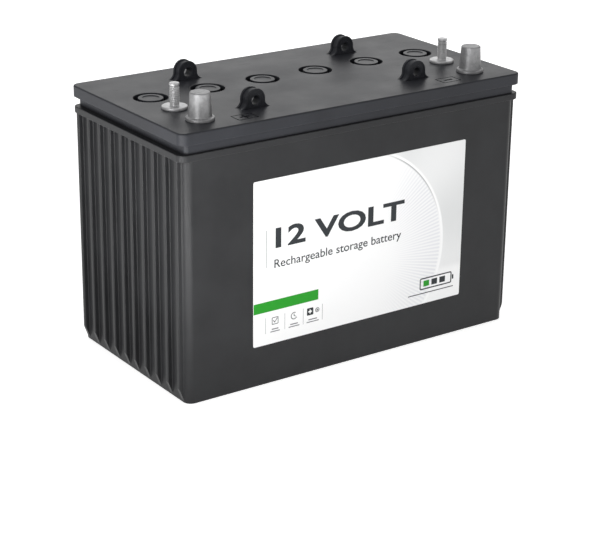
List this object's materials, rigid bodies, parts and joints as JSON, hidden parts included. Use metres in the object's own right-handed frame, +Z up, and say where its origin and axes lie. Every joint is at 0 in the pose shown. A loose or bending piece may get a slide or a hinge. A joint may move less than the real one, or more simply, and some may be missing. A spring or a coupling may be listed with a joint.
{
  "type": "deep cycle battery",
  "caption": "Sealed rectangular twelve volt battery with ribbed ends, a lipped lid with rope eyes and vent caps, tapered posts beside threaded studs, and a front label.",
  "frame": {"origin": "middle of the base, on the floor", "axes": "+X along the length towards the negative end, -Y towards the label and the terminals, +Z up"},
  "size_m": [0.33, 0.17, 0.2412],
  "materials": {
    "case_plastic": "satin black moulded polypropylene",
    "lid_plastic": "satin charcoal moulded polypropylene",
    "cap_plastic": "satin charcoal moulded plastic",
    "label_film": "semi-gloss white printed film",
    "post_lead": "bare cast lead alloy, dull grey",
    "stud_steel": "plain stainless steel",
    "seal_rubber": "black rubber",
    "valve_rubber": "black rubber",
    "cast_lead": "as-cast lead alloy",
    "positive_plate": "brown lead dioxide paste on a lead grid",
    "negative_plate": "grey sponge lead on a lead grid",
    "separator_sheet": "off-white ribbed separator sheet",
    "gel": "translucent off-white set gel"
  },
  "bodies": {
    "battery": {"case": "case_plastic", "lid": "lid_plastic", "rope_eye_1": "lid_plastic", "rope_eye_2": "lid_plastic", "rope_eye_3": "lid_plastic", "rope_eye_4": "lid_plastic", "label": "label_film", "positive_post": "post_lead", "negative_post": "post_lead", "positive_stud": "stud_steel", "negative_stud": "stud_steel", "positive_post_seal": "seal_rubber", "negative_post_seal": "seal_rubber", "positive_stud_seal": "seal_rubber", "negative_stud_seal": "seal_rubber", "positive_terminal_bar": "cast_lead", "negative_terminal_bar": "cast_lead", "cell_weld_1": "cast_lead", "cell_weld_2": "cast_lead", "cell_weld_3": "cast_lead", "cell_weld_4": "cast_lead", "cell_weld_5": "cast_lead", "positive_plates_1": "positive_plate", "negative_plates_1": "negative_plate", "separators_1": "separator_sheet", "gel_electrolyte_1": "gel", "positive_plates_2": "positive_plate", "negative_plates_2": "negative_plate", "separators_2": "separator_sheet", "gel_electrolyte_2": "gel", "positive_plates_3": "positive_plate", "negative_plates_3": "negative_plate", "separators_3": "separator_sheet", "gel_electrolyte_3": "gel", "positive_plates_4": "positive_plate", "negative_plates_4": "negative_plate", "separators_4": "separator_sheet", "gel_electrolyte_4": "gel", "positive_plates_5": "positive_plate", "negative_plates_5": "negative_plate", "separators_5": "separator_sheet", "gel_electrolyte_5": "gel", "positive_plates_6": "positive_plate", "negative_plates_6": "negative_plate", "separators_6": "separator_sheet", "gel_electrolyte_6": "gel"},
    "vent_cap_1": {"vent_cap_1": "cap_plastic"},
    "vent_cap_2": {"vent_cap_2": "cap_plastic"},
    "vent_cap_3": {"vent_cap_3": "cap_plastic"},
    "vent_cap_4": {"vent_cap_4": "cap_plastic"},
    "vent_cap_5": {"vent_cap_5": "cap_plastic"},
    "vent_cap_6": {"vent_cap_6": "cap_plastic"},
    "relief_valve_1": {"relief_valve_1": "valve_rubber"},
    "relief_valve_2": {"relief_valve_2": "valve_rubber"},
    "relief_valve_3": {"relief_valve_3": "valve_rubber"},
    "relief_valve_4": {"relief_valve_4": "valve_rubber"},
    "relief_valve_5": {"relief_valve_5": "valve_rubber"},
    "relief_valve_6": {"relief_valve_6": "valve_rubber"}
  },
  "joints": [
    {"name": "vent_cap_1_pull", "type": "slide", "parent": "battery", "child": "vent_cap_1", "axis": [0, 0, 1], "range_m": [0, 0.025]},
    {"name": "vent_cap_2_pull", "type": "slide", "parent": "battery", "child": "vent_cap_2", "axis": [0, 0, 1], "range_m": [0, 0.025]},
    {"name": "vent_cap_3_pull", "type": "slide", "parent": "battery", "child": "vent_cap_3", "axis": [0, 0, 1], "range_m": [0, 0.025]},
    {"name": "vent_cap_4_pull", "type": "slide", "parent": "battery", "child": "vent_cap_4", "axis": [0, 0, 1], "range_m": [0, 0.025]},
    {"name": "vent_cap_5_pull", "type": "slide", "parent": "battery", "child": "vent_cap_5", "axis": [0, 0, 1], "range_m": [0, 0.025]},
    {"name": "vent_cap_6_pull", "type": "slide", "parent": "battery", "child": "vent_cap_6", "axis": [0, 0, 1], "range_m": [0, 0.025]},
    {"name": "relief_valve_1_lift", "type": "slide", "parent": "battery", "child": "relief_valve_1", "axis": [0, 0, 1], "range_m": [0, 0.0008], "stiffness_N_per_m": 700, "springref_m": -0.0008},
    {"name": "relief_valve_2_lift", "type": "slide", "parent": "battery", "child": "relief_valve_2", "axis": [0, 0, 1], "range_m": [0, 0.0008], "stiffness_N_per_m": 700, "springref_m": -0.0008},
    {"name": "relief_valve_3_lift", "type": "slide", "parent": "battery", "child": "relief_valve_3", "axis": [0, 0, 1], "range_m": [0, 0.0008], "stiffness_N_per_m": 700, "springref_m": -0.0008},
    {"name": "relief_valve_4_lift", "type": "slide", "parent": "battery", "child": "relief_valve_4", "axis": [0, 0, 1], "range_m": [0, 0.0008], "stiffness_N_per_m": 700, "springref_m": -0.0008},
    {"name": "relief_valve_5_lift", "type": "slide", "parent": "battery", "child": "relief_valve_5", "axis": [0, 0, 1], "range_m": [0, 0.0008], "stiffness_N_per_m": 700, "springref_m": -0.0008},
    {"name": "relief_valve_6_lift", "type": "slide", "parent": "battery", "child": "relief_valve_6", "axis": [0, 0, 1], "range_m": [0, 0.0008], "stiffness_N_per_m": 700, "springref_m": -0.0008}
  ]
}
